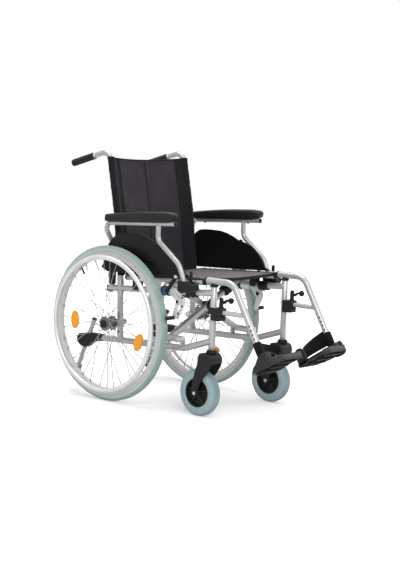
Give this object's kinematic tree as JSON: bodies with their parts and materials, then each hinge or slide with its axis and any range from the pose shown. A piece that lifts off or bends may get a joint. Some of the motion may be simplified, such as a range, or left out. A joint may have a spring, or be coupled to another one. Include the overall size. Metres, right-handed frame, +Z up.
{
  "type": "folding wheelchair",
  "caption": "Folding wheelchair with cross brace, swing-away footrests, flip-back armrests, push handles, spoked rear wheels and swivelling casters.",
  "frame": {"origin": "on the floor under the middle of the bounding box", "axes": "+Z up, +Y towards the push handles, +X towards the user's left side"},
  "size_m": [0.6516, 1.1104, 0.9781],
  "materials": {
    "frame_paint": "satin silver powder coat",
    "grip_rubber": "matt black",
    "grey_tyre": "pale grey rubber",
    "caster_tyre": "blue-grey rubber",
    "rim_paint": "cream enamel",
    "spoke_steel": "bright drawn wire",
    "handrim_aluminium": "clear anodised",
    "black_plastic": "fine moulded texture",
    "pad_foam": "black self-skinned foam",
    "tube_chrome": "bright",
    "grey_plastic": "dark grey moulded",
    "webbing": "black woven",
    "seat_fabric": "coated mauve-grey nylon",
    "back_fabric": "charcoal nylon"
  },
  "bodies": {
    "right_frame": {"right_side_frame": "frame_paint", "right_back_cane": "frame_paint", "right_push_grip": "grip_rubber", "right_wheel_axle": "black_plastic", "right_armrest_lock": "black_plastic", "right_brake_bracket": "frame_paint", "right_tip_lever": "black_plastic", "back_cover": "back_fabric"},
    "front_brace": {"front_brace": "frame_paint", "seat_cover": "seat_fabric"},
    "rear_brace": {"rear_brace": "frame_paint"},
    "left_frame": {"left_side_frame": "frame_paint", "left_back_cane": "frame_paint", "left_push_grip": "grip_rubber", "left_wheel_axle": "black_plastic", "left_armrest_lock": "black_plastic", "left_brake_bracket": "frame_paint", "left_tip_lever": "black_plastic"},
    "right_wheel": {"right_wheel_tyre": "grey_tyre", "right_wheel_rim": "rim_paint", "right_wheel_hub": "spoke_steel", "right_handrim": "handrim_aluminium"},
    "right_fork": {"right_caster_fork": "black_plastic"},
    "right_caster": {"right_caster_tyre": "caster_tyre", "right_caster_hub": "black_plastic"},
    "right_armrest": {"right_armrest_tube": "frame_paint", "right_arm_pad": "pad_foam", "right_side_panel": "black_plastic"},
    "right_armrest_catch": {"right_armrest_lever": "black_plastic"},
    "right_legrest": {"right_hanger": "frame_paint", "right_latch_block": "black_plastic"},
    "right_latch": {"right_latch_lever": "black_plastic"},
    "right_foot_slide": {"right_foot_tube": "tube_chrome", "right_heel_strap": "webbing"},
    "right_footrest": {"right_footplate": "grey_plastic"},
    "right_brake_hand": {"right_brake_lever": "black_plastic"},
    "right_brake_foot": {"right_brake_shoe": "tube_chrome"},
    "right_anti_tip": {"right_anti_tip_tube": "frame_paint"},
    "right_tip_roller": {"right_anti_tip_wheel": "black_plastic"},
    "left_wheel": {"left_wheel_tyre": "grey_tyre", "left_wheel_rim": "rim_paint", "left_wheel_hub": "spoke_steel", "left_handrim": "handrim_aluminium"},
    "left_fork": {"left_caster_fork": "black_plastic"},
    "left_caster": {"left_caster_tyre": "caster_tyre", "left_caster_hub": "black_plastic"},
    "left_armrest": {"left_armrest_tube": "frame_paint", "left_arm_pad": "pad_foam", "left_side_panel": "black_plastic"},
    "left_armrest_catch": {"left_armrest_lever": "black_plastic"},
    "left_legrest": {"left_hanger": "frame_paint", "left_latch_block": "black_plastic"},
    "left_latch": {"left_latch_lever": "black_plastic"},
    "left_foot_slide": {"left_foot_tube": "tube_chrome", "left_heel_strap": "webbing"},
    "left_footrest": {"left_footplate": "grey_plastic"},
    "left_brake_hand": {"left_brake_lever": "black_plastic"},
    "left_brake_foot": {"left_brake_shoe": "tube_chrome"},
    "left_anti_tip": {"left_anti_tip_tube": "frame_paint"},
    "left_tip_roller": {"left_anti_tip_wheel": "black_plastic"}
  },
  "joints": [
    {"name": "fold", "type": "hinge", "parent": "right_frame", "child": "front_brace", "pos_m": [-0.217, -0.01875, 0.277], "axis": [0, -1, 0], "range_deg": [0, 47]},
    {"name": "brace_centre", "type": "hinge", "parent": "front_brace", "child": "rear_brace", "pos_m": [0, -0.01875, 0.38751], "axis": [0, -1, 0], "range_deg": [-95, 0], "deforming": ["seat_cover"]},
    {"name": "left_frame_pivot", "type": "hinge", "parent": "rear_brace", "child": "left_frame", "pos_m": [0.217, 0.00725, 0.277], "axis": [0, -1, 0], "range_deg": [0, 48], "deforming": ["back_cover"]},
    {"name": "right_wheel_spin", "type": "hinge", "parent": "right_frame", "child": "right_wheel", "pos_m": [-0.279, 0.25025, 0.305], "axis": [1, 0, 0], "continuous": true},
    {"name": "right_caster_swivel", "type": "hinge", "parent": "right_frame", "child": "right_fork", "pos_m": [-0.217, -0.23175, 0.25], "axis": [0, 0, 1], "continuous": true},
    {"name": "right_caster_spin", "type": "hinge", "parent": "right_fork", "child": "right_caster", "pos_m": [-0.217, -0.18175, 0.089], "axis": [1, 0, 0], "continuous": true},
    {"name": "right_armrest_flip", "type": "hinge", "parent": "right_frame", "child": "right_armrest", "pos_m": [-0.217, 0.29825, 0.494], "axis": [-1, 0, 0], "range_deg": [0, 85]},
    {"name": "right_armrest_catch_tilt", "type": "hinge", "parent": "right_frame", "child": "right_armrest_catch", "pos_m": [-0.25, -0.14375, 0.498], "axis": [1, 0, 0], "range_deg": [0, 25]},
    {"name": "right_legrest_swing", "type": "hinge", "parent": "right_frame", "child": "right_legrest", "pos_m": [-0.217, -0.23175, 0.47], "axis": [0, 0, -1], "range_deg": [0, 90]},
    {"name": "right_latch_turn", "type": "hinge", "parent": "right_legrest", "child": "right_latch", "pos_m": [-0.217, -0.26875, 0.43], "axis": [0, 0, 1], "range_deg": [-35, 35]},
    {"name": "right_foot_height", "type": "slide", "parent": "right_legrest", "child": "right_foot_slide", "axis": [0, -0.5039, -0.8638], "range_m": [0, 0.08]},
    {"name": "right_footplate_flip", "type": "hinge", "parent": "right_foot_slide", "child": "right_footrest", "pos_m": [-0.217, -0.50654, 0.27353], "axis": [0, -0.8434, 0.5373], "range_deg": [0, 90], "deforming": ["right_heel_strap"]},
    {"name": "right_brake_pull", "type": "hinge", "parent": "right_frame", "child": "right_brake_hand", "pos_m": [-0.254, -0.03175, 0.462], "axis": [-1, 0, 0], "range_deg": [0, 45]},
    {"name": "right_brake_press", "type": "hinge", "parent": "right_frame", "child": "right_brake_foot", "pos_m": [-0.248, -0.07975, 0.424], "axis": [1, 0, 0], "range_deg": [0, 6.2]},
    {"name": "right_anti_tip_lift", "type": "slide", "parent": "right_frame", "child": "right_anti_tip", "axis": [0, -0.3929, 0.9196], "range_m": [0, 0.06]},
    {"name": "right_tip_roller_spin", "type": "hinge", "parent": "right_anti_tip", "child": "right_tip_roller", "pos_m": [-0.217, 0.48825, 0.07], "axis": [1, 0, 0], "continuous": true},
    {"name": "left_wheel_spin", "type": "hinge", "parent": "left_frame", "child": "left_wheel", "pos_m": [0.279, 0.25025, 0.305], "axis": [1, 0, 0], "continuous": true},
    {"name": "left_caster_swivel", "type": "hinge", "parent": "left_frame", "child": "left_fork", "pos_m": [0.217, -0.23175, 0.25], "axis": [0, 0, 1], "continuous": true},
    {"name": "left_caster_spin", "type": "hinge", "parent": "left_fork", "child": "left_caster", "pos_m": [0.217, -0.18175, 0.089], "axis": [1, 0, 0], "continuous": true},
    {"name": "left_armrest_flip", "type": "hinge", "parent": "left_frame", "child": "left_armrest", "pos_m": [0.217, 0.29825, 0.494], "axis": [-1, 0, 0], "range_deg": [0, 85]},
    {"name": "left_armrest_catch_tilt", "type": "hinge", "parent": "left_frame", "child": "left_armrest_catch", "pos_m": [0.25, -0.14375, 0.498], "axis": [1, 0, 0], "range_deg": [0, 25]},
    {"name": "left_legrest_swing", "type": "hinge", "parent": "left_frame", "child": "left_legrest", "pos_m": [0.217, -0.23175, 0.47], "axis": [0, 0, 1], "range_deg": [0, 90]},
    {"name": "left_latch_turn", "type": "hinge", "parent": "left_legrest", "child": "left_latch", "pos_m": [0.217, -0.26875, 0.43], "axis": [0, 0, 1], "range_deg": [-35, 35]},
    {"name": "left_foot_height", "type": "slide", "parent": "left_legrest", "child": "left_foot_slide", "axis": [0, -0.5039, -0.8638], "range_m": [0, 0.08]},
    {"name": "left_footplate_flip", "type": "hinge", "parent": "left_foot_slide", "child": "left_footrest", "pos_m": [0.217, -0.50654, 0.27353], "axis": [0, 0.8434, -0.5373], "range_deg": [0, 90], "deforming": ["left_heel_strap"]},
    {"name": "left_brake_pull", "type": "hinge", "parent": "left_frame", "child": "left_brake_hand", "pos_m": [0.254, -0.03175, 0.462], "axis": [-1, 0, 0], "range_deg": [0, 45]},
    {"name": "left_brake_press", "type": "hinge", "parent": "left_frame", "child": "left_brake_foot", "pos_m": [0.248, -0.07975, 0.424], "axis": [1, 0, 0], "range_deg": [0, 6.2]},
    {"name": "left_anti_tip_lift", "type": "slide", "parent": "left_frame", "child": "left_anti_tip", "axis": [0, -0.3929, 0.9196], "range_m": [0, 0.06]},
    {"name": "left_tip_roller_spin", "type": "hinge", "parent": "left_anti_tip", "child": "left_tip_roller", "pos_m": [0.217, 0.48825, 0.07], "axis": [1, 0, 0], "continuous": true}
  ],
  "couplings": [
    {"joint": "brace_centre", "follows": "fold", "ratio": -2},
    {"joint": "left_frame_pivot", "follows": "fold", "ratio": 1},
    {"joint": "right_footplate_flip", "follows": "fold", "ratio": 1.914},
    {"joint": "right_brake_press", "follows": "right_brake_pull", "ratio": 0.1333},
    {"joint": "left_footplate_flip", "follows": "fold", "ratio": 1.914},
    {"joint": "left_brake_press", "follows": "left_brake_pull", "ratio": 0.1333}
  ]
}
